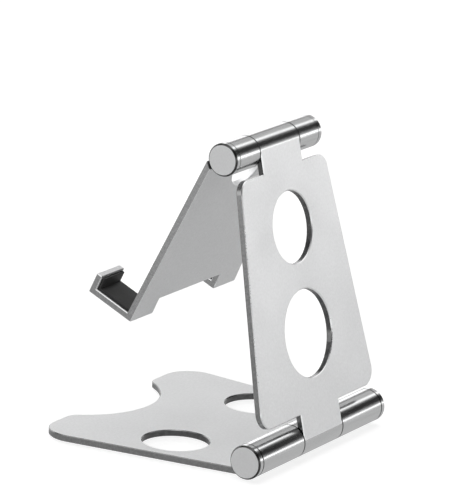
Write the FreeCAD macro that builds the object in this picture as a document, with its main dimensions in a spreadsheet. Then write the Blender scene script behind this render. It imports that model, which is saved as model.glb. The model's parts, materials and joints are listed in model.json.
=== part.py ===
import FreeCAD, Part
import os

import Sketcher

# Folding desk stand for a phone: a flat base plate, a leaning arm plate and a cradle plate with
# two hooks, joined by two friction hinges whose barrels are part of the plates.
#
# Frame: millimetres, +Z up.  The origin is on the table, in the middle of the footprint.
# X runs along both hinge axes, -Y is the front (where the user sits) and +Y the back.

doc = FreeCAD.newDocument("phone_stand")
sheet = doc.addObject("Spreadsheet::Sheet", "Sizes")

SIZES = [
    # shared by the three plates
    ("plate_thick", 2.0),
    ("edge_chamfer", 0.25),
    ("joint_gap", 0.5),        # between a centre knuckle and its neighbours
    ("washer_slack", 0.03),    # axial play of a friction washer
    # base plate
    ("foot_pad_thick", 0.8),
    ("base_depth", 72.9),      # from the front edge to the back of the lower barrel
    ("base_front_half", 40.8),
    ("base_rear_half", 32.9),
    ("base_corner", 9.0),
    ("bay_depth", 12.8),       # the round bay in the front edge
    ("bay_radius", 24.6),
    ("bay_lip_round", 4.5),
    ("base_hole_radius", 9.8),
    ("base_hole_across", 23.0),
    ("base_hole_front", 37.0),  # from the front edge to the hole's centre
    ("knuckle_recess", 5.6),   # cut in front of the axis, clear of the arm's knuckle
    # lower hinge
    ("low_radius", 5.0),
    ("low_knuckle_end", 33.9),
    ("low_centre_half", 10.7),
    ("low_bore_depth", 9.0),   # counterbore at each end of the barrel
    # arm plate
    ("arm_length", 84.5),      # from axis to axis
    ("arm_lean", 13.4),        # degrees forward of upright
    ("arm_foot_half", 33.4),   # half width of the side lines at the lower axis
    ("arm_head_half", 22.8),   # and at the upper axis
    ("arm_foot_step", 7.5),    # shoulder above the lower axis
    ("arm_head_step", 6.8),    # shoulder below the upper axis
    ("arm_foot_corner", 4.8),
    ("arm_head_corner", 4.0),
    ("arm_low_hole_radius", 12.8),
    ("arm_low_hole_up", 29.3),
    ("arm_top_hole_radius", 10.55),
    ("arm_top_hole_up", 60.3),
    # upper hinge
    ("top_radius", 4.8),
    ("top_knuckle_end", 21.75),
    ("top_centre_half", 10.8),
    ("top_bore_depth", 6.2),
    # cradle plate, measured down from the upper axis
    ("cradle_slope", 24.1),    # degrees from upright
    ("cradle_back_offset", 2.0),  # its back face lies this far in front of the axis
    ("cradle_top_half", 24.0),
    ("cradle_foot_half", 28.8),
    ("cradle_length", 57.0),
    ("cradle_edge", 51.7),     # lower edge between the hooks
    ("window_radius", 8.3),    # the round window under the middle of the barrel
    ("window_down", 6.8),
    ("hook_width", 12.0),
    ("hook_depth", 16.0),      # from the plate's back face to the front of the lip
    ("hook_rise", 6.5),        # height of the lip, over the shelf's underside
    # end caps
    ("cap_flange", 2.2),
    ("cap_rim", 0.5),          # chamfer round the outer face
    ("seam_chamfer", 0.25),    # the two chamfers that form the groove between cap and knuckle
    ("cap_plug_length", 1.9),
    ("cap_plug_radius", 3.75),
    ("cap_clearance", 0.15),
    # shaft, washers, disc springs and nut
    ("counterbore_radius", 3.8),
    ("shaft_radius", 2.0),
    ("shaft_clearance", 0.05),
    ("thread_radius", 1.5),
    ("head_radius", 3.4),
    ("head_height", 1.6),
    ("flat_washer_thick", 0.5),
    ("flat_washer_radius", 3.6),
    ("spring_thick", 0.35),
    ("spring_cone", 0.25),
    ("spring_pitch", 0.4),
    ("spring_radius", 3.5),
    ("low_spring_count", 4),
    ("top_spring_count", 2),
    ("nut_height", 2.0),
    ("nut_corner_radius", 3.15),
    ("friction_washer_radius", 4.4),
    # pads
    ("face_pad_thick", 1.0),
    ("face_pad_inset", 3.0),
    ("face_pad_top", 19.0),
    ("face_pad_foot", 48.5),
    ("face_pad_corner", 3.0),
    ("hook_pad_thick", 0.8),
    ("hook_pad_margin", 0.6),
    ("rear_pad_half", 26.0),
    ("rear_pad_width", 8.0),
    ("rear_pad_back", 22.5),   # its back edge, behind the origin
    ("front_pad_across", 30.5),
    ("front_pad_front", 33.2),  # its front edge, in front of the origin
    ("front_pad_width", 11.0),
    ("front_pad_length", 14.0),
    ("foot_pad_corner", 3.5),
]

for row, (alias, number) in enumerate(SIZES, start=1):
    sheet.set("A%d" % row, alias)
    sheet.set("B%d" % row, str(number))
    sheet.setAlias("B%d" % row, alias)
doc.recompute()

# Positions that follow from the driving sizes, as expressions.
LOW_AXIS_Y = "(Sizes.base_depth / 2 - Sizes.low_radius)"
LOW_AXIS_Z = "(Sizes.foot_pad_thick + Sizes.low_radius)"
LEAN = "(Sizes.arm_lean * 1 deg)"
BARREL_STEP = "(Sizes.low_radius - Sizes.top_radius)"
TOP_AXIS_Y = (
    "(" + LOW_AXIS_Y + " - Sizes.arm_length * sin(" + LEAN + ") + " + BARREL_STEP
    + " * cos(" + LEAN + "))"
)
TOP_AXIS_Z = (
    "(" + LOW_AXIS_Z + " + Sizes.arm_length * cos(" + LEAN + ") + " + BARREL_STEP
    + " * sin(" + LEAN + "))"
)
BASE_FRONT_Y = "(-Sizes.base_depth / 2)"
CRADLE_FRONT = "(Sizes.cradle_back_offset + Sizes.plate_thick)"

X_AXIS = FreeCAD.Vector(1, 0, 0)
THROUGH = 200.0    # longer than any piece, for cuts that go right through


def size(alias):
    """The number in the sheet's cell of that name."""
    return float(sheet.get(alias))


def place(piece, y="0", z="0", tilt="0", x="0"):
    """Put a piece at a point of the frame, turned about the X direction by tilt degrees."""
    piece.Placement = FreeCAD.Placement(FreeCAD.Vector(0, 0, 0), FreeCAD.Rotation(X_AXIS, 1))
    piece.setExpression("Placement.Rotation.Angle", tilt + " * 1 deg")
    for axis, expression in (("x", x), ("y", y), ("z", z)):
        piece.setExpression("Placement.Base." + axis, expression + " * 1 mm")


def place_low(piece):
    """The lower hinge's own frame: on its axis, square to the table."""
    place(piece, LOW_AXIS_Y, LOW_AXIS_Z)


def place_arm(piece):
    """The arm's own frame: on the lower axis, Z up along the arm, Y out of its back."""
    place(piece, LOW_AXIS_Y, LOW_AXIS_Z, "Sizes.arm_lean")


def place_cradle(piece):
    """The cradle's own frame: on the upper axis, Z up along the plate, Y out of its back."""
    place(piece, TOP_AXIS_Y, TOP_AXIS_Z, "-Sizes.cradle_slope")


def new_body(label):
    body = doc.addObject("PartDesign::Body", label)
    body.Label = label
    body.AllowCompound = True
    return body


def sketch_on(body, name, role, offset="0"):
    """A sketch on one of the body's origin planes, moved along its normal by offset."""
    sketch = body.newObject("Sketcher::SketchObject", name)
    plane = [item for item in body.Origin.OriginFeatures if item.Role == role][0]
    sketch.AttachmentSupport = [(plane, "")]
    sketch.MapMode = "FlatFace"
    sketch.setExpression("AttachmentOffset.Base.z", offset + " * 1 mm")
    return sketch


def pin_point(sketch, geometry, point, across, along):
    """Fix one sketch point by two distances from the sketch's origin."""
    for kind, expression in (("DistanceX", across), ("DistanceY", along)):
        index = sketch.addConstraint(Sketcher.Constraint(kind, -1, 1, geometry, point, 1.0))
        sketch.setExpression("Constraints[%d]" % index, expression)


def polygon(sketch, corners):
    """A closed outline through corners, each a pair of expressions."""
    count = len(corners)
    for index in range(count):
        start = FreeCAD.Vector(index, index * index, 0)
        end = FreeCAD.Vector(index + 1, (index + 1) ** 2, 0)
        sketch.addGeometry(Part.LineSegment(start, end), False)
    for index in range(count):
        following = (index + 1) % count
        sketch.addConstraint(Sketcher.Constraint("Coincident", index, 2, following, 1))
    for index, (across, along) in enumerate(corners):
        pin_point(sketch, index, 1, across, along)


def circle(sketch, radius, across="0", along="0"):
    """A circle of a given radius and centre, each an expression."""
    shape = Part.Circle(FreeCAD.Vector(0, 0, 0), FreeCAD.Vector(0, 0, 1), 1.0)
    index = sketch.addGeometry(shape, False)
    constraint = sketch.addConstraint(Sketcher.Constraint("Radius", index, 1.0))
    sketch.setExpression("Constraints[%d]" % constraint, radius)
    pin_point(sketch, index, 3, across, along)


def pad(body, sketch, length, centred=False, reverse=False):
    feature = body.newObject("PartDesign::Pad", sketch.Name + "_pad")
    feature.Profile = sketch
    feature.setExpression("Length", length)
    feature.SideType = "Symmetric" if centred else "One side"
    feature.Reversed = reverse
    body.Tip = feature
    doc.recompute()
    return feature


def cut_through(body, sketch):
    """A pocket that runs through the whole piece, both ways from its sketch."""
    volume = body.Shape.Volume
    feature = body.newObject("PartDesign::Pocket", sketch.Name + "_cut")
    feature.Profile = sketch
    feature.Length = THROUGH
    feature.SideType = "Symmetric"
    body.Tip = feature
    doc.recompute()
    if body.Shape.Volume >= volume:
        raise RuntimeError(feature.Name + " removes nothing")
    return feature


def turn(body, sketch, kind="PartDesign::Revolution"):
    """Revolve a sketch about its own horizontal axis, to add or, as a Groove, to remove."""
    volume = body.Shape.Volume if body.Tip else 0.0
    feature = body.newObject(kind, sketch.Name + "_turn")
    feature.Profile = sketch
    feature.ReferenceAxis = (sketch, ["H_Axis"])
    feature.Angle = 360
    body.Tip = feature
    doc.recompute()
    if kind == "PartDesign::Groove" and body.Shape.Volume >= volume:
        raise RuntimeError(feature.Name + " removes nothing")
    return feature


def dress(body, kind, wanted, amount):
    """Fillet or chamfer the tip's edges for which wanted(edge) is true."""
    tip = body.Tip
    names = ["Edge%d" % (i + 1) for i, edge in enumerate(tip.Shape.Edges) if wanted(edge)]
    if not names:
        raise RuntimeError(body.Label + " has no edge to dress")
    feature = body.newObject("PartDesign::" + kind, body.Label + "_" + kind.lower())
    feature.Base = (tip, names)
    feature.setExpression("Radius" if kind == "Fillet" else "Size", amount)
    body.Tip = feature
    doc.recompute()
    return feature


def lies_in(edge, direction, levels):
    """True for an edge that lies in one of the planes at these levels along direction."""
    points = [vertex.Point for vertex in edge.Vertexes] + [edge.CenterOfMass]
    heights = [point.dot(direction) for point in points]
    return any(max(abs(height - level) for height in heights) < 0.001 for level in levels)


def is_convex(shape, edge):
    """True where two faces of the shape meet at an outward corner along the edge."""
    point = edge.valueAt((edge.FirstParameter + edge.LastParameter) / 2)
    normals = [face.normalAt(*face.Surface.parameter(point))
               for face in shape.ancestorsOfType(edge, Part.Face)]
    if len(normals) != 2 or (normals[0] - normals[1]).Length < 0.1:
        return False
    return not shape.isInside(point + (normals[0] - normals[1]) * 0.02, 0.001, False)


def straight_along(edge, direction):
    """True for a straight edge that runs along the given direction."""
    if not isinstance(edge.Curve, Part.Line):
        return False
    return abs(edge.Curve.Direction.dot(direction)) > 0.999


def middle(edge):
    return edge.CenterOfMass


def knuckle_rim(edge, radius, end):
    """True for the round outer edge at either end of a barrel."""
    if not isinstance(edge.Curve, Part.Circle):
        return False
    if abs(edge.Curve.Radius - radius) > 0.01:
        return False
    return abs(abs(edge.Curve.Center.x) - end) < 0.01


# ---------------------------------------------------------------- base plate

UP = FreeCAD.Vector(0, 0, 1)
BACK = FreeCAD.Vector(0, 1, 0)


def make_base_plate():
    body = new_body("base_plate")
    outline = sketch_on(body, "base_outline", "XY_Plane", "Sizes.foot_pad_thick")
    polygon(outline, [
        ("-Sizes.base_front_half", BASE_FRONT_Y),
        ("Sizes.base_front_half", BASE_FRONT_Y),
        ("Sizes.base_rear_half", LOW_AXIS_Y),
        ("-Sizes.base_rear_half", LOW_AXIS_Y),
    ])
    pad(body, outline, "Sizes.plate_thick")

    bay = sketch_on(body, "base_bay", "XY_Plane")
    circle(bay, "Sizes.bay_radius", "0", BASE_FRONT_Y + " + Sizes.bay_depth - Sizes.bay_radius")
    cut_through(body, bay)

    front = -size("base_depth") / 2
    bay_half = (2 * size("bay_depth") * size("bay_radius") - size("bay_depth") ** 2) ** 0.5
    between = (bay_half + size("base_front_half")) / 2

    def front_corner(edge):
        return straight_along(edge, UP) and middle(edge).y < front + 1

    dress(body, "Fillet", lambda e: front_corner(e) and abs(middle(e).x) > between,
          "Sizes.base_corner")
    dress(body, "Fillet", lambda e: front_corner(e) and abs(middle(e).x) < between,
          "Sizes.bay_lip_round")

    holes = sketch_on(body, "base_holes", "XY_Plane")
    for sign in ("-", ""):
        circle(holes, "Sizes.base_hole_radius", sign + "Sizes.base_hole_across",
               BASE_FRONT_Y + " + Sizes.base_hole_front")
    cut_through(body, holes)

    faces = (size("foot_pad_thick"), size("foot_pad_thick") + size("plate_thick"))
    axis_y = size("base_depth") / 2 - size("low_radius")
    dress(body, "Chamfer", lambda e: lies_in(e, UP, faces) and middle(e).y < axis_y - 0.01,
          "Sizes.edge_chamfer")

    barrel = sketch_on(body, "base_barrel", "YZ_Plane")
    circle(barrel, "Sizes.low_radius", LOW_AXIS_Y, LOW_AXIS_Z)
    pad(body, barrel, "2 * Sizes.low_knuckle_end", centred=True)
    dress(body, "Chamfer", lambda e: knuckle_rim(e, size("low_radius"), size("low_knuckle_end")),
          "Sizes.seam_chamfer")

    gap = sketch_on(body, "base_gap", "XY_Plane")
    half = "(Sizes.low_centre_half + Sizes.joint_gap)"
    polygon(gap, [
        ("-" + half, LOW_AXIS_Y + " - Sizes.knuckle_recess"),
        (half, LOW_AXIS_Y + " - Sizes.knuckle_recess"),
        (half, LOW_AXIS_Y + " + 2 * Sizes.low_radius"),
        ("-" + half, LOW_AXIS_Y + " + 2 * Sizes.low_radius"),
    ])
    cut_through(body, gap)
    bore_barrel(body, "base_bore", "low", LOW_AXIS_Y, LOW_AXIS_Z)
    return body


def bore_barrel(body, name, hinge, axis_y="0", axis_z="0", clear_caps=False):
    """Bore a barrel for its shaft, with a counterbore at each end.  Where the plate is wider
    than the barrel, clear_caps also rounds the plate out around the end caps."""
    end = "Sizes.%s_knuckle_end" % hinge
    floor = "(%s - Sizes.%s_bore_depth)" % (end, hinge)
    wide = "Sizes.counterbore_radius"
    narrow = "(Sizes.shaft_radius + Sizes.shaft_clearance)"
    profile = [("-" + floor, narrow), (floor, narrow), (floor, wide), (end, wide)]
    if clear_caps:
        around = "(Sizes.%s_radius + Sizes.cap_clearance)" % hinge
        past = "(%s + 2 * Sizes.cap_flange)" % end
        profile += [(end, around), (past, around), (past, "0"), ("-" + past, "0")]
        profile += [("-" + past, around), ("-" + end, around)]
    else:
        profile += [(end, "0"), ("-" + end, "0")]
    profile += [("-" + end, wide), ("-" + floor, wide)]
    sketch = sketch_on(body, name, "XY_Plane")
    sketch.setExpression("AttachmentOffset.Base.y", axis_y + " * 1 mm")
    sketch.setExpression("AttachmentOffset.Base.z", axis_z + " * 1 mm")
    polygon(sketch, profile)
    turn(body, sketch, "PartDesign::Groove")


# ---------------------------------------------------------------- arm plate

def make_arm_plate():
    body = new_body("arm_plate")
    slant = "((Sizes.arm_head_half - Sizes.arm_foot_half) / Sizes.arm_length)"
    head_step = "(Sizes.arm_length - Sizes.arm_head_step)"
    right = [
        ("Sizes.low_centre_half", "0"),
        ("Sizes.low_centre_half", "Sizes.arm_foot_step"),
        ("(Sizes.arm_foot_half + %s * Sizes.arm_foot_step)" % slant, "Sizes.arm_foot_step"),
        ("(Sizes.arm_foot_half + %s * %s)" % (slant, head_step), head_step),
        ("Sizes.top_centre_half", head_step),
        ("Sizes.top_centre_half", "Sizes.arm_length"),
    ]
    left = [("-" + across, along) for across, along in reversed(right)]
    # a sketch on XZ looks along +Y, so its normal and its offset point to -Y
    outline = sketch_on(body, "arm_outline", "XZ_Plane", "-Sizes.low_radius")
    polygon(outline, right + left)
    pad(body, outline, "Sizes.plate_thick")

    tab = max(size("low_centre_half"), size("top_centre_half")) + 1
    centre = size("arm_length") / 2

    def outer_corner(edge):
        return straight_along(edge, BACK) and abs(middle(edge).x) > tab

    dress(body, "Fillet", lambda e: outer_corner(e) and middle(e).z < centre,
          "Sizes.arm_foot_corner")
    dress(body, "Fillet", lambda e: outer_corner(e) and middle(e).z > centre,
          "Sizes.arm_head_corner")

    holes = sketch_on(body, "arm_holes", "XZ_Plane")
    circle(holes, "Sizes.arm_low_hole_radius", "0", "Sizes.arm_low_hole_up")
    circle(holes, "Sizes.arm_top_hole_radius", "0", "Sizes.arm_top_hole_up")
    cut_through(body, holes)

    faces = (size("low_radius"), size("low_radius") - size("plate_thick"))
    dress(body, "Chamfer", lambda e: lies_in(e, BACK, faces)
          and 0.01 < middle(e).z < size("arm_length") - 0.01, "Sizes.edge_chamfer")

    for hinge, across, along in (("low", "0", "0"), ("top", BARREL_STEP, "Sizes.arm_length")):
        barrel = sketch_on(body, "arm_barrel_" + hinge, "YZ_Plane")
        circle(barrel, "Sizes.%s_radius" % hinge, across, along)
        pad(body, barrel, "2 * Sizes.%s_centre_half" % hinge, centred=True)
    bores = sketch_on(body, "arm_bores", "YZ_Plane")
    for across, along in (("0", "0"), (BARREL_STEP, "Sizes.arm_length")):
        circle(bores, "Sizes.shaft_radius + Sizes.shaft_clearance", across, along)
    cut_through(body, bores)
    place_arm(body)
    return body


# ---------------------------------------------------------------- cradle plate

def make_cradle_plate():
    body = new_body("cradle_plate")
    inner = "(Sizes.cradle_foot_half - Sizes.hook_width)"
    inside = "(Sizes.plate_thick - Sizes.cradle_length)"    # upper side of the hooks' shelves
    right = [
        ("Sizes.cradle_top_half", "0"),
        ("Sizes.cradle_foot_half", inside),
        ("Sizes.cradle_foot_half", "-Sizes.cradle_length"),
        (inner, "-Sizes.cradle_length"),
        (inner, "-Sizes.cradle_edge"),
    ]
    left = [("-" + across, along) for across, along in reversed(right)]
    outline = sketch_on(body, "cradle_outline", "XZ_Plane", "Sizes.cradle_back_offset")
    polygon(outline, right + left)
    pad(body, outline, "Sizes.plate_thick")

    # one hook: a shelf square to the plate, and a lip that turns up at its front
    lip_front = "(-Sizes.cradle_back_offset - Sizes.hook_depth)"
    lip_back = "(%s + Sizes.plate_thick)" % lip_front
    hook_outline = [
        ("-Sizes.cradle_back_offset", "-Sizes.cradle_length"),
        ("-Sizes.cradle_back_offset", inside),
        (lip_back, inside),
        (lip_back, "(Sizes.hook_rise - Sizes.cradle_length)"),
        (lip_front, "(Sizes.hook_rise - Sizes.cradle_length)"),
        (lip_front, "-Sizes.cradle_length"),
    ]
    for name, start in (("hook_right", inner), ("hook_left", "(-Sizes.cradle_foot_half)")):
        hook = sketch_on(body, name, "YZ_Plane", start)
        polygon(hook, hook_outline)
        pad(body, hook, "Sizes.hook_width")

    window = sketch_on(body, "cradle_window", "XZ_Plane")
    circle(window, "Sizes.window_radius", "0", "-Sizes.window_down")
    cut_through(body, window)
    plain = body.Tip.Shape

    def front_side(edge):
        """The long edges beside the phone's pad, which stay square where they meet the hooks."""
        point = middle(edge)
        front = -size("cradle_back_offset") - size("plate_thick")
        return abs(point.y - front) < 0.001 and edge.Length > 40

    dress(body, "Chamfer", lambda e: middle(e).z < -0.01 and is_convex(plain, e)
          and not front_side(e), "Sizes.edge_chamfer")

    barrel = sketch_on(body, "cradle_barrel", "YZ_Plane")
    circle(barrel, "Sizes.top_radius")
    pad(body, barrel, "2 * Sizes.top_knuckle_end", centred=True)
    gap = sketch_on(body, "cradle_gap", "XZ_Plane")
    half = "(Sizes.top_centre_half + Sizes.joint_gap)"
    polygon(gap, [
        ("-" + half, "-Sizes.knuckle_recess"),
        (half, "-Sizes.knuckle_recess"),
        (half, "2 * Sizes.top_radius"),
        ("-" + half, "2 * Sizes.top_radius"),
    ])
    cut_through(body, gap)
    bore_barrel(body, "cradle_bore", "top", clear_caps=True)
    place_cradle(body)
    return body


# ---------------------------------------------------------------- turned pieces of the hinges

def turned(label, profile, placed, x="0"):
    """A piece turned about the hinge axis from a profile of (along the axis, radius)."""
    body = new_body(label)
    sketch = sketch_on(body, label + "_profile", "XY_Plane")
    polygon(sketch, profile)
    turn(body, sketch)
    placed(body)
    body.setExpression("Placement.Base.x", x + " * 1 mm")
    return body


def mirror_profile(profile, sign):
    """The same profile, or its mirror image in the plane across the axis."""
    if sign > 0:
        return profile
    return [("-(%s)" % along, radius) for along, radius in profile]


def ring_profile(start, width, outer, inner):
    end = "(%s + %s)" % (start, width)
    return [(start, inner), (end, inner), (end, outer), (start, outer)]


def make_hinge(hinge, name, placed):
    """Everything in one hinge besides the plates' own knuckles."""
    end = "Sizes.%s_knuckle_end" % hinge
    floor = "(%s - Sizes.%s_bore_depth)" % (end, hinge)
    radius = "Sizes.%s_radius" % hinge
    washer = "Sizes.flat_washer_thick"
    shaft = "Sizes.shaft_radius"
    slack = "Sizes.shaft_clearance"
    springs = "Sizes.%s_spring_count * Sizes.spring_pitch + Sizes.spring_cone" % hinge
    nut_start = "(%s + %s + %s)" % (floor, washer, springs)
    thread_end = "(%s + Sizes.nut_height + Sizes.shaft_clearance)" % nut_start
    head_start = "(%s + %s)" % (floor, washer)
    pieces = []

    pieces.append(turned(name + "_shaft", [
        ("-" + thread_end, "0"),
        ("-" + thread_end, "Sizes.thread_radius"),
        ("-" + floor, "Sizes.thread_radius"),
        ("-" + floor, shaft),
        (head_start, shaft),
        (head_start, "Sizes.head_radius"),
        ("(%s + Sizes.head_height)" % head_start, "Sizes.head_radius"),
        ("(%s + Sizes.head_height)" % head_start, "0"),
    ], placed))

    pieces.append(turned(name + "_head_washer", ring_profile(
        floor, washer, "Sizes.flat_washer_radius", "(%s + %s)" % (shaft, slack)), placed))
    nut_washer = ring_profile(
        floor, washer, "Sizes.flat_washer_radius", "(Sizes.thread_radius + %s)" % slack)
    pieces.append(turned(name + "_nut_washer", mirror_profile(nut_washer, -1), placed))

    for side, sign in (("right", 1), ("left", -1)):
        inside = "(Sizes.%s_centre_half + Sizes.washer_slack)" % hinge
        friction = ring_profile(inside, "(Sizes.joint_gap - Sizes.washer_slack)",
                                "Sizes.friction_washer_radius", "(%s + %s)" % (shaft, slack))
        pieces.append(turned(name + "_friction_washer_" + side,
                             mirror_profile(friction, sign), placed))
        cap = [
            ("-Sizes.cap_plug_length", "0"),
            ("-Sizes.cap_plug_length", "Sizes.cap_plug_radius"),
            ("0", "Sizes.cap_plug_radius"),
            ("0", "(%s - Sizes.seam_chamfer)" % radius),
            ("Sizes.seam_chamfer", radius),
            ("(Sizes.cap_flange - Sizes.cap_rim)", radius),
            ("Sizes.cap_flange", "(%s - Sizes.cap_rim)" % radius),
            ("Sizes.cap_flange", "0"),
        ]
        seat = end if sign > 0 else "(-%s)" % end
        pieces.append(turned(name + "_cap_" + side, mirror_profile(cap, sign), placed, seat))

    pieces.append(make_springs(hinge, name, placed, "(%s + %s)" % (floor, washer)))
    pieces.append(make_nut(name, placed, nut_start))
    return pieces


def make_springs(hinge, name, placed, start):
    """The stack of coned disc springs between the nut's washer and the nut."""
    body = new_body(name + "_disc_springs")
    inner = "(Sizes.thread_radius + Sizes.shaft_clearance)"
    outer = "Sizes.spring_radius"
    thick = "Sizes.spring_thick"
    sketch = sketch_on(body, name + "_spring_profile", "XY_Plane")
    polygon(sketch, mirror_profile([
        (start, outer),
        ("(%s + %s)" % (start, thick), outer),
        ("(%s + %s + Sizes.spring_cone)" % (start, thick), inner),
        ("(%s + Sizes.spring_cone)" % start, inner),
    ], -1))
    first = turn(body, sketch)
    stack = body.newObject("PartDesign::LinearPattern", name + "_spring_stack")
    stack.Originals = [first]
    stack.Direction = (sketch, ["H_Axis"])
    stack.Reversed = True
    stack.setExpression(
        "Length", "(Sizes.%s_spring_count - 1) * Sizes.spring_pitch" % hinge)
    stack.setExpression("Occurrences", "Sizes.%s_spring_count" % hinge)
    body.Tip = stack
    placed(body)
    return body


def make_nut(name, placed, start):
    """A hexagonal lock nut, from a prism and a hole."""
    prism = doc.addObject("Part::Prism", name + "_nut_prism")
    prism.Polygon = 6
    prism.setExpression("Circumradius", "Sizes.nut_corner_radius")
    prism.setExpression("Height", "Sizes.nut_height")
    hole = doc.addObject("Part::Cylinder", name + "_nut_hole")
    hole.setExpression("Radius", "Sizes.thread_radius + Sizes.shaft_clearance")
    hole.setExpression("Height", "Sizes.nut_height")
    across = FreeCAD.Rotation(FreeCAD.Vector(0, 1, 0), -90)
    for solid in (prism, hole):
        solid.Placement = FreeCAD.Placement(FreeCAD.Vector(0, 0, 0), across)
        solid.setExpression("Placement.Base.x", "-%s * 1 mm" % start)
    nut = doc.addObject("Part::Cut", name + "_lock_nut")
    nut.Label = name + "_lock_nut"
    nut.Base = prism
    nut.Tool = hole
    placed(nut)
    return nut


# ---------------------------------------------------------------- pads

def make_face_pad():
    """The soft pad on the cradle's front face."""
    body = new_body("cradle_face_pad")
    slant = "((Sizes.cradle_foot_half - Sizes.cradle_top_half) / Sizes.cradle_length)"
    top = "(Sizes.cradle_top_half - Sizes.face_pad_inset + %s * Sizes.face_pad_top)" % slant
    foot = "(Sizes.cradle_top_half - Sizes.face_pad_inset + %s * Sizes.face_pad_foot)" % slant
    outline = sketch_on(body, "face_pad_outline", "XZ_Plane", CRADLE_FRONT)
    polygon(outline, [
        ("-" + foot, "-Sizes.face_pad_foot"),
        (foot, "-Sizes.face_pad_foot"),
        (top, "-Sizes.face_pad_top"),
        ("-" + top, "-Sizes.face_pad_top"),
    ])
    pad(body, outline, "Sizes.face_pad_thick")
    dress(body, "Fillet", lambda e: straight_along(e, BACK), "Sizes.face_pad_corner")
    place_cradle(body)
    return body


def make_hook_pad(side, start):
    """The soft liner of one hook: along the shelf and up the back of the lip."""
    body = new_body("hook_pad_" + side)
    shelf = "(Sizes.plate_thick - Sizes.cradle_length)"
    lip_back = "(Sizes.plate_thick - Sizes.cradle_back_offset - Sizes.hook_depth)"
    top = "(Sizes.hook_rise - Sizes.cradle_length - Sizes.hook_pad_margin)"
    thick = "Sizes.hook_pad_thick"
    outline = sketch_on(body, "hook_pad_outline_" + side, "YZ_Plane", start)
    polygon(outline, [
        ("-" + CRADLE_FRONT, shelf),
        ("-" + CRADLE_FRONT, "(%s + %s)" % (shelf, thick)),
        ("(%s + %s)" % (lip_back, thick), "(%s + %s)" % (shelf, thick)),
        ("(%s + %s)" % (lip_back, thick), top),
        (lip_back, top),
        (lip_back, shelf),
    ])
    pad(body, outline, "Sizes.hook_width - 2 * Sizes.hook_pad_margin")
    place_cradle(body)
    return body


def make_foot_pad(label, left, front, width, length):
    """One soft foot under the base plate."""
    body = new_body(label)
    outline = sketch_on(body, label + "_outline", "XY_Plane")
    right = "(%s + %s)" % (left, width)
    back = "(%s + %s)" % (front, length)
    polygon(outline, [(left, front), (right, front), (right, back), (left, back)])
    pad(body, outline, "Sizes.foot_pad_thick")
    dress(body, "Fillet", lambda e: straight_along(e, UP), "Sizes.foot_pad_corner")
    return body


# ---------------------------------------------------------------- the assembly

nodes = [make_base_plate(), make_arm_plate(), make_cradle_plate()]
nodes += make_hinge("low", "lower", place_low)
nodes += make_hinge("top", "upper", place_cradle)
nodes.append(make_face_pad())
nodes.append(make_hook_pad(
    "right", "(Sizes.cradle_foot_half - Sizes.hook_width + Sizes.hook_pad_margin)"))
nodes.append(make_hook_pad("left", "(Sizes.hook_pad_margin - Sizes.cradle_foot_half)"))
nodes.append(make_foot_pad(
    "foot_pad_rear", "(-Sizes.rear_pad_half)", "(Sizes.rear_pad_back - Sizes.rear_pad_width)",
    "2 * Sizes.rear_pad_half", "Sizes.rear_pad_width"))
nodes.append(make_foot_pad(
    "foot_pad_right", "(Sizes.front_pad_across - Sizes.front_pad_width / 2)",
    "(-Sizes.front_pad_front)", "Sizes.front_pad_width", "Sizes.front_pad_length"))
nodes.append(make_foot_pad(
    "foot_pad_left", "(-Sizes.front_pad_across - Sizes.front_pad_width / 2)",
    "(-Sizes.front_pad_front)", "Sizes.front_pad_width", "Sizes.front_pad_length"))
doc.recompute()

for item in doc.Objects:
    if "Invalid" in item.State or "Error" in item.State:
        raise RuntimeError("%s failed: %s" % (item.Label, item.State))

os.makedirs("parts", exist_ok=True)
for node in nodes:
    shape = node.Shape
    if shape.isNull() or not shape.isValid() or not shape.Solids:
        raise RuntimeError(node.Label + " has no valid solid")
    shape.exportStep("parts/" + node.Label + ".step")
    box = shape.BoundBox
    print("%-30s %d solid(s) %9.1f mm3  x %7.2f %7.2f  y %7.2f %7.2f  z %7.2f %7.2f" % (
        node.Label, len(shape.Solids), shape.Volume,
        box.XMin, box.XMax, box.YMin, box.YMax, box.ZMin, box.ZMax))
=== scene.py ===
import json
import math

import bmesh
import bpy
from mathutils import Matrix, Vector


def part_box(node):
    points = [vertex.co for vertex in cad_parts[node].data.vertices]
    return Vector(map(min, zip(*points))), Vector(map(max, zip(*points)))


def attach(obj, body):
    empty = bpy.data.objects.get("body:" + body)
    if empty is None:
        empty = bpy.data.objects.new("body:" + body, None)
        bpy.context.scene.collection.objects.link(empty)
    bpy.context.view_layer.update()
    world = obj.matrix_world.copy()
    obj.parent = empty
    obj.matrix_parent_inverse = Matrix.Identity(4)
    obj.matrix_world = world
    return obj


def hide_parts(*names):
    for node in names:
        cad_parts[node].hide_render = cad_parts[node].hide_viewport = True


# The finished look of a folding phone stand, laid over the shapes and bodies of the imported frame.
# The scene is in metres, and MM turns millimetres into them.

MM = 0.001

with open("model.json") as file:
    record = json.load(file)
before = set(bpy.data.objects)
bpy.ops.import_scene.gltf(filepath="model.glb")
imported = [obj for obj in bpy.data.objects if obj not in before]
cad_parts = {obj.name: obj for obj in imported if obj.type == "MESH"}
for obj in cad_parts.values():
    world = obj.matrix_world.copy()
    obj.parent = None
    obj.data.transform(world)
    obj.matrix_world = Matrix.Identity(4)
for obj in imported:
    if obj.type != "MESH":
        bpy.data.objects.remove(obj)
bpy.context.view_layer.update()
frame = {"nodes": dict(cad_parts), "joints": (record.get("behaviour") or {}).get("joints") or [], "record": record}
nodes = frame["nodes"]


# ---------------------------------------------------------------- materials

# A noise value mostly lies between these two.
NOISE_LOW = 0.3
NOISE_HIGH = 0.7
# Every grey is a little cooler than neutral: its green and its blue against its red.
COOL_GREEN = 1.005
COOL_BLUE = 1.01


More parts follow.
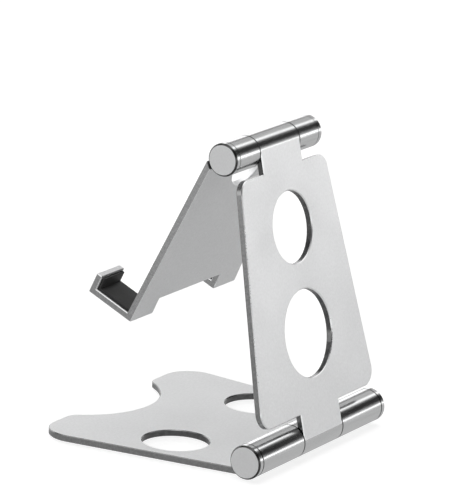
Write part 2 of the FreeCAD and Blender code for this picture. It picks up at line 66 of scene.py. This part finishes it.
def new_material(name):
    """A fresh node material with its Principled shader, wired to the output."""
    material = bpy.data.materials.new(name)
    material.use_nodes = True
    tree = material.node_tree
    return material, tree, tree.nodes["Principled BSDF"]


def add(tree, kind, **settings):
    """A node of that kind, with its sockets and properties set."""
    node = tree.nodes.new(kind)
    for name, value in settings.items():
        if name in node.inputs:
            node.inputs[name].default_value = value
        else:
            setattr(node, name, value)
    return node


def noise(tree, coords, scale, detail=2.0, roughness=0.5):
    node = add(tree, "ShaderNodeTexNoise", Scale=scale, Detail=detail, Roughness=roughness)
    tree.links.new(coords, node.inputs["Vector"])
    return node.outputs["Fac"]


def spread(tree, value, low, high, start=NOISE_LOW, end=NOISE_HIGH, curve="LINEAR"):
    """Map a value that runs from start to end onto the range low..high."""
    node = add(tree, "ShaderNodeMapRange", interpolation_type=curve)
    node.inputs["From Min"].default_value = start
    node.inputs["From Max"].default_value = end
    node.inputs["To Min"].default_value = low
    node.inputs["To Max"].default_value = high
    tree.links.new(value, node.inputs["Value"])
    return node.outputs["Result"]


def total(tree, first, second):
    node = add(tree, "ShaderNodeMath", operation="ADD")
    tree.links.new(first, node.inputs[0])
    tree.links.new(second, node.inputs[1])
    return node.outputs[0]


def tint(tree, shader, value, dark, light):
    """Base colour that varies between two close shades of grey."""
    ramp = add(tree, "ShaderNodeValToRGB")
    stops = zip(ramp.color_ramp.elements, (NOISE_LOW, NOISE_HIGH), (dark, light))
    for element, position, shade in stops:
        element.position = position
        element.color = (shade, shade * COOL_GREEN, shade * COOL_BLUE, 1)
    tree.links.new(value, ramp.inputs["Fac"])
    tree.links.new(ramp.outputs["Color"], shader.inputs["Base Color"])


def bump(tree, shader, height, depth_mm):
    node = add(tree, "ShaderNodeBump", Strength=1.0, Distance=depth_mm * MM)
    tree.links.new(height, node.inputs["Height"])
    tree.links.new(node.outputs["Normal"], shader.inputs["Normal"])


def metal(name, dark, light, rough, grain, depth_mm, stretch=(1, 1, 1)):
    """Metal with a fine grain, which stretch draws out into lines, and a slow drift in gloss."""
    flicker = 0.04
    drift = 0.03
    material, tree, shader = new_material(name)
    coords = add(tree, "ShaderNodeTexCoord").outputs["Object"]
    drawn = add(tree, "ShaderNodeMapping", Scale=stretch)
    tree.links.new(coords, drawn.inputs["Vector"])
    fine = noise(tree, drawn.outputs["Vector"], grain, detail=4.0, roughness=0.65)
    slow = noise(tree, coords, scale=60.0)
    tint(tree, shader, fine, dark, light)
    shader.inputs["Metallic"].default_value = 1.0
    gloss = total(tree, spread(tree, fine, rough - flicker, rough + flicker),
                  spread(tree, slow, -drift, drift))
    tree.links.new(gloss, shader.inputs["Roughness"])
    bump(tree, shader, fine, depth_mm)
    return material


def soft_matt(name, dark, light, rough, grain, depth_mm):
    """Matt rubber or nylon with a fine skin."""
    drift = 0.06
    material, tree, shader = new_material(name)
    coords = add(tree, "ShaderNodeTexCoord").outputs["Object"]
    fine = noise(tree, coords, grain, detail=3.0)
    slow = noise(tree, coords, scale=80.0)
    tint(tree, shader, fine, dark, light)
    tree.links.new(spread(tree, slow, rough - drift, rough + drift), shader.inputs["Roughness"])
    bump(tree, shader, fine, depth_mm)
    return material


# Squeezing X draws the grain out into lines along the hinge axis.
ALONG_X = (0.03, 1, 1)
BLASTED = metal("blasted_aluminium", dark=0.83, light=0.93, rough=0.40, grain=1500,
                depth_mm=0.009)
TURNED = metal("brushed_barrel", dark=0.80, light=0.88, rough=0.19, grain=1200,
               depth_mm=0.002, stretch=ALONG_X)
# These three and the caps' rim below are darker than bare aluminium: a painted reflection of the
# dark surroundings that such narrow faces mirror, and on hole walls and seams painted shade too.
SIDE_PAINTED_REFLECTION = metal("side_painted_reflection", dark=0.40, light=0.50, rough=0.22, grain=1400,
               depth_mm=0.003, stretch=ALONG_X)
DARKER_SIDE_PAINTED_REFLECTION = metal("darker_side_painted_reflection", dark=0.26, light=0.36, rough=0.20, grain=1400,
             depth_mm=0.003, stretch=ALONG_X)
PAINTED_SHADE = metal("painted_shade_metal", dark=0.10, light=0.18, rough=0.14, grain=1400,
              depth_mm=0.003, stretch=ALONG_X)
# Lighter than the blasted flats: a painted highlight, for the arm's back chamfers.
EDGE = metal("chamfer_painted_highlight", dark=0.92, light=0.96, rough=0.30, grain=1400, depth_mm=0.001)
FACED = metal("faced_aluminium", dark=0.86, light=0.92, rough=0.34, grain=1500,
              depth_mm=0.003)
# The caps' rim: a painted reflection, near black.
RIM_PAINTED_REFLECTION = metal("rim_painted_reflection", dark=0.07, light=0.11, rough=0.25, grain=1200, depth_mm=0.001)
STEEL = metal("bright_steel", dark=0.50, light=0.60, rough=0.25, grain=1600,
              depth_mm=0.004, stretch=ALONG_X)
SPRING = metal("spring_steel", dark=0.20, light=0.30, rough=0.35, grain=1600, depth_mm=0.004)
SILICONE = soft_matt("black_silicone", dark=0.010, light=0.018, rough=0.55, grain=1400,
                     depth_mm=0.012)
NYLON = soft_matt("nylon", dark=0.70, light=0.76, rough=0.45, grain=900, depth_mm=0.006)

BY_SLOT = {
    "satin_aluminium": BLASTED,
    "cap_aluminium": TURNED,
    "bright_steel": STEEL,
    "spring_steel": SPRING,
    "nylon": NYLON,
    "black_silicone": SILICONE,
}
BODY_OF = {node: body for body, members in frame["record"]["behaviour"]["bodies"].items()
           for node in members}
SLOT_OF = {part["node"]: part["material_slot"] for part in frame["record"]["subparts"]}
HINGES = {joint["name"]: Vector(joint["pos_m"]) for joint in frame["joints"]}

for name, node in nodes.items():
    node.data.materials.clear()
    node.data.materials.append(BY_SLOT[SLOT_OF[name]])


# ---------------------------------------------------------------- finished pieces

ARM_LEAN = 13.4
CRADLE_SLOPE = 24.1

# A face belongs to a barrel within ON_BARREL of its radius, and to the knuckle's inside or end
# up to PAST_BARREL beyond it.
ON_BARREL = 0.12 * MM
PAST_BARREL = 0.1 * MM
# The centre knuckles and the necks that carry them lie within this of the middle.
NECK_HALF = 12 * MM
# A hole's wall lies within this of the hole's middle.
HOLE_REACH = 14 * MM

# The least cosine between a face's normal and a direction for the face to count as ...
SQUARE_ON = 0.9        # square to it
FLAT = 0.92            # one of a plate's two flats
SLANTED = 0.4          # a plate's chamfer
ROUND_A_HOLE = 0.97    # a hole's wall
CAP_SLANTED = 0.3      # a cap's chamfer
PAD_FIELD = 0.98       # the flat side of a pad


def stand_in(name, label, mesh):
    """A piece that stands for a CAD node and rides on the node's body."""
    mesh.name = label
    piece = bpy.data.objects.new(label, mesh)
    bpy.context.scene.collection.objects.link(piece)
    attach(piece, BODY_OF[name])
    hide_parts(name)


def finished_copy(name, label, finishes, pick):
    """A piece with a CAD node's own surface, on which pick(centre, normal) names the finish of
    each face."""
    mesh = nodes[name].data.copy()
    mesh.materials.clear()
    for finish in finishes:
        mesh.materials.append(finish)
    order = {finish: index for index, finish in enumerate(finishes)}
    for polygon in mesh.polygons:
        polygon.material_index = order[pick(polygon.center, polygon.normal)]
    stand_in(name, label, mesh)


def plate_finish(face_normals, axes, side, front_rim, rear_rim, holes=()):
    """Blasted faces, hole walls, knuckle insides and the seams between knuckles in painted
    shade, barrels brushed along the hinge axes, and a finish for the side faces, the chamfers
    at the front or underneath, and those at the back or on top."""
    def pick(centre, normal):
        for axis, radius in axes:
            away = Vector((0, centre.y - axis.y, centre.z - axis.z))
            outside = abs(away.length - radius) < ON_BARREL
            if outside and away.normalized().dot(normal) > SQUARE_ON:
                return TURNED
            # Here and below, knuckle insides and ends, neck ends and hole walls take painted shade.
            if away.length < radius + PAST_BARREL:
                return PAINTED_SHADE
        if abs(normal.x) > SQUARE_ON and abs(centre.x) < NECK_HALF:
            return PAINTED_SHADE
        along = max((normal.dot(face) for face in face_normals), key=abs)
        if abs(along) > FLAT:
            return BLASTED
        if abs(along) > SLANTED:
            return rear_rim if along > 0 else front_rim
        for hole in holes:
            inward = hole - centre
            inward -= inward.dot(face_normals[0]) * face_normals[0]
            if inward.length < HOLE_REACH and inward.normalized().dot(normal) > ROUND_A_HOLE:
                return PAINTED_SHADE
        return side
    return pick


def cap_finish(centre, normal):
    """A faced disc, a chamfer round it painted dark as a painted reflection, a brushed side, and a seam at the
    knuckle in painted shade.
    """
    if abs(normal.x) > SQUARE_ON:
        return FACED
    if abs(normal.x) > CAP_SLANTED:
        outward = normal.x * centre.x > 0
        return RIM_PAINTED_REFLECTION if outward else PAINTED_SHADE
    return TURNED


def opening(name):
    """The middle of one of the record's openings."""
    for row in frame["record"]["physics"]["openings"]:
        if row["name"] == name:
            low, high = (Vector(corner) for corner in row["box_m"])
            return (low + high) / 2
    raise ValueError(name)


def barrel_radius(cap):
    """The outer radius of a hinge's barrel, read from an end cap."""
    low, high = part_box(cap)
    return (high.z - low.z) / 2


def leaning(degrees):
    """The back normal of a plate that is turned about X by that many degrees."""
    angle = math.radians(degrees)
    return Vector((0, math.cos(angle), math.sin(angle)))


LOWER = (HINGES["lower_hinge"], barrel_radius("lower_cap_right"))
UPPER = (HINGES["upper_hinge"], barrel_radius("upper_cap_right"))
CRADLE_BACK = leaning(-CRADLE_SLOPE)
SHELF_UP = Vector((0, CRADLE_BACK.z, -CRADLE_BACK.y))
METALS = (BLASTED, TURNED, SIDE_PAINTED_REFLECTION, DARKER_SIDE_PAINTED_REFLECTION, PAINTED_SHADE, EDGE)

# The base's sides and all its chamfers take a painted reflection, darker than its top.
finished_copy("base_plate", "base_plate_finished", METALS,
              plate_finish([Vector((0, 0, 1))], [LOWER], DARKER_SIDE_PAINTED_REFLECTION, DARKER_SIDE_PAINTED_REFLECTION, DARKER_SIDE_PAINTED_REFLECTION,
                           [opening("base_hole_right"), opening("base_hole_left")]))
# The arm's front chamfers take painted shade and its back chamfers a painted highlight.
finished_copy("arm_plate", "arm_plate_finished", METALS,
              plate_finish([leaning(ARM_LEAN)], [LOWER, UPPER], DARKER_SIDE_PAINTED_REFLECTION, PAINTED_SHADE, EDGE,
                           [opening("arm_low_hole"), opening("arm_top_hole")]))
finished_copy("cradle_plate", "cradle_plate_finished", METALS,
              plate_finish([CRADLE_BACK, SHELF_UP], [UPPER], SIDE_PAINTED_REFLECTION, BLASTED, BLASTED))
for name in [name for name in nodes if "_cap_" in name]:
    finished_copy(name, name + "_finished", (TURNED, FACED, RIM_PAINTED_REFLECTION, PAINTED_SHADE), cap_finish)


def moulded_pad(name, facing, rounding, border, sink):
    """A silicone pad in a CAD pad's place: rounded rims, and a sunk field inside a border on
    the face that looks in the facing direction."""
    weld = 0.002 * MM
    same_plane = math.radians(1)
    rim_angle = math.radians(35)
    smooth_angle = math.radians(32)
    work = bmesh.new()
    work.from_mesh(nodes[name].data)
    bmesh.ops.remove_doubles(work, verts=work.verts, dist=weld)
    bmesh.ops.dissolve_limit(work, angle_limit=same_plane, verts=work.verts, edges=work.edges)
    rims = [edge for edge in work.edges if edge.calc_face_angle(0) > rim_angle]
    field = max((face for face in work.faces if face.normal.dot(facing) > PAD_FIELD),
                key=lambda face: face.calc_area())
    bmesh.ops.inset_region(work, faces=[field], thickness=border, use_even_offset=True)
    bmesh.ops.inset_region(work, faces=[field], thickness=sink, depth=-sink,
                           use_even_offset=True)
    bmesh.ops.bevel(work, geom=rims, offset=rounding, segments=3, profile=0.5,
                    affect="EDGES", clamp_overlap=False)
    bmesh.ops.recalc_face_normals(work, faces=work.faces)
    for face in work.faces:
        face.smooth = True
    for edge in work.edges:
        edge.smooth = edge.calc_face_angle(0) < smooth_angle
    mesh = nodes[name].data.copy()
    work.to_mesh(mesh)
    work.free()
    mesh.materials.clear()
    mesh.materials.append(SILICONE)
    stand_in(name, name + "_moulded", mesh)


DOWN = Vector((0, 0, -1))
moulded_pad("cradle_face_pad", -CRADLE_BACK, rounding=0.3 * MM, border=1.5 * MM,
            sink=0.15 * MM)
for name, facing in (("hook_pad_right", SHELF_UP), ("hook_pad_left", SHELF_UP),
                     ("foot_pad_rear", DOWN), ("foot_pad_right", DOWN),
                     ("foot_pad_left", DOWN)):
    moulded_pad(name, facing, rounding=0.2 * MM, border=1.0 * MM, sink=0.12 * MM)


# ---------------------------------------------------------------- stage, light and camera

CENTRE = Vector((0, 0, 0.045))

FLOOR_HALF = 1.5
FLOOR_GREY = 0.55
FLOOR_GLOW = 0.72
# What metal mirrors of the floor, up to one distance from the stand and beyond another.
MIRRORED_NEAR = 0.48
MIRRORED_FAR = 0.6
NEAR_END = 0.7
FAR_START = 2.0

# What metal mirrors of the room: degrees about the X axis, and the brightness there.  0 is the
# horizon at the back, 90 is overhead, 180 the horizon at the front.
BANDS = [
    (0, 1.9),
    (6, 1.65),
    (14, 0.25),
    (30, 0.03),
    (52, 0.02),
    (66, 0.10),
    (78, 1.3),
    (86, 1.3),
    (94, 0.45),
    (124, 0.5),
    (134, 0.17),
    (142, 0.17),
    (149, 1.4),
    (174, 1.35),
    (186, 0.9),
    (220, 0.7),
    (330, 0.7),
    (350, 1.5),
]
WHITE = (1, 1, 1, 1)


def place_facing(thing, aim, azimuth, elevation, distance, roll=0.0):
    """Put a camera or a light at a distance from aim, looking at it.  Azimuth is in degrees
    from the front towards +X."""
    turn = math.radians(azimuth)
    rise = math.radians(elevation)
    back = Vector((math.sin(turn) * math.cos(rise), -math.cos(turn) * math.cos(rise),
                   math.sin(rise)))
    right = Vector((0, 0, 1)).cross(back).normalized()
    up = back.cross(right)
    axes = Matrix((right, up, back)).transposed()
    axes = axes @ Matrix.Rotation(math.radians(roll), 3, "Z")
    thing.matrix_world = Matrix.Translation(Vector(aim) + back * distance) @ axes.to_4x4()


def soft_box(name, azimuth, elevation, distance, size, power):
    """A square area light that looks at the stand from a direction, in degrees."""
    data = bpy.data.lights.new(name, "AREA")
    data.shape = "RECTANGLE"
    data.size = size
    data.size_y = size
    data.energy = power
    lamp = bpy.data.objects.new(name, data)
    bpy.context.scene.collection.objects.link(lamp)
    place_facing(lamp, CENTRE, azimuth, elevation, distance)


def pale_floor():
    """The table top, a pale sheet that is partly self-lit and takes almost no shadow.  Metal
    mirrors it as a mid grey instead, which keeps the plates' sides and undersides distinct."""
    mesh = bpy.data.meshes.new("floor")
    corners = [(x * FLOOR_HALF, y * FLOOR_HALF, 0)
               for x, y in ((-1, -1), (1, -1), (1, 1), (-1, 1))]
    mesh.from_pydata(corners, [], [(0, 1, 2, 3)])
    floor = bpy.data.objects.new("floor", mesh)
    bpy.context.scene.collection.objects.link(floor)
    material, tree, shader = new_material("floor")
    shader.inputs["Base Color"].default_value = (FLOOR_GREY, FLOOR_GREY, FLOOR_GREY, 1)
    shader.inputs["Roughness"].default_value = 0.7
    shader.inputs["Specular IOR Level"].default_value = 0.0
    shader.inputs["Emission Color"].default_value = WHITE
    shader.inputs["Emission Strength"].default_value = FLOOR_GLOW
    away = add(tree, "ShaderNodeVectorMath", operation="LENGTH")
    tree.links.new(add(tree, "ShaderNodeTexCoord").outputs["Object"], away.inputs[0])
    level = spread(tree, away.outputs["Value"], MIRRORED_NEAR, MIRRORED_FAR,
                   start=NEAR_END, end=FAR_START, curve="SMOOTHSTEP")
    mirrored = add(tree, "ShaderNodeEmission")
    tree.links.new(level, mirrored.inputs["Strength"])
    rays = add(tree, "ShaderNodeLightPath")
    choice = add(tree, "ShaderNodeMixShader")
    tree.links.new(rays.outputs["Is Glossy Ray"], choice.inputs[0])
    tree.links.new(shader.outputs[0], choice.inputs[1])
    tree.links.new(mirrored.outputs[0], choice.inputs[2])
    tree.links.new(choice.outputs[0], tree.nodes["Material Output"].inputs["Surface"])
    mesh.materials.append(material)


def studio_world():
    """A room that is plain white to the camera.  Metal mirrors BANDS in it, which run parallel
    to the barrels like strip lights and dark flags."""
    world = bpy.data.worlds.new("studio")
    world.use_nodes = True
    tree = world.node_tree
    background = tree.nodes["Background"]
    parts = add(tree, "ShaderNodeSeparateXYZ")
    tree.links.new(add(tree, "ShaderNodeTexCoord").outputs["Generated"], parts.inputs[0])
    angle = add(tree, "ShaderNodeMath", operation="ARCTAN2")
    tree.links.new(parts.outputs["Z"], angle.inputs[0])
    tree.links.new(parts.outputs["Y"], angle.inputs[1])
    share = add(tree, "ShaderNodeMath", operation="DIVIDE")
    tree.links.new(angle.outputs[0], share.inputs[0])
    share.inputs[1].default_value = 2 * math.pi
    wrapped = add(tree, "ShaderNodeMath", operation="FRACT")
    tree.links.new(share.outputs[0], wrapped.inputs[0])
    ramp = add(tree, "ShaderNodeValToRGB")
    tree.links.new(wrapped.outputs[0], ramp.inputs["Fac"])
    stops = ramp.color_ramp.elements
    for index, (degrees, level) in enumerate(BANDS):
        stop = stops[index] if index < 2 else stops.new(degrees / 360)
        stop.position = degrees / 360
        stop.color = (level, level, level, 1)
    rays = add(tree, "ShaderNodeLightPath")
    choice = add(tree, "ShaderNodeMix", data_type="RGBA")
    tree.links.new(rays.outputs["Is Camera Ray"], choice.inputs["Factor"])
    to_metal, to_camera = (socket for socket in choice.inputs if socket.type == "RGBA")
    tree.links.new(ramp.outputs["Color"], to_metal)
    to_camera.default_value = WHITE
    chosen, = (socket for socket in choice.outputs if socket.type == "RGBA")
    tree.links.new(chosen, background.inputs["Color"])
    background.inputs["Strength"].default_value = 1.0
    bpy.context.scene.world = world


def photo_camera():
    """A long lens from the photograph's viewing angle."""
    data = bpy.data.cameras.new("camera")
    data.sensor_fit = "VERTICAL"
    data.sensor_height = 36.0
    data.lens = 299.5
    data.clip_start = 0.01
    data.clip_end = 20.0
    camera = bpy.data.objects.new("camera", data)
    bpy.context.scene.collection.objects.link(camera)
    place_facing(camera, Vector((-3.7, 1.4, 54.2)) * MM, azimuth=120.44, elevation=15.22,
                 distance=1.2056, roll=2.89)
    bpy.context.scene.camera = camera


pale_floor()
soft_box("overhead", azimuth=0, elevation=89, distance=1.6, size=2.4, power=8)
studio_world()
bpy.context.scene.view_settings.view_transform = "Standard"
photo_camera()
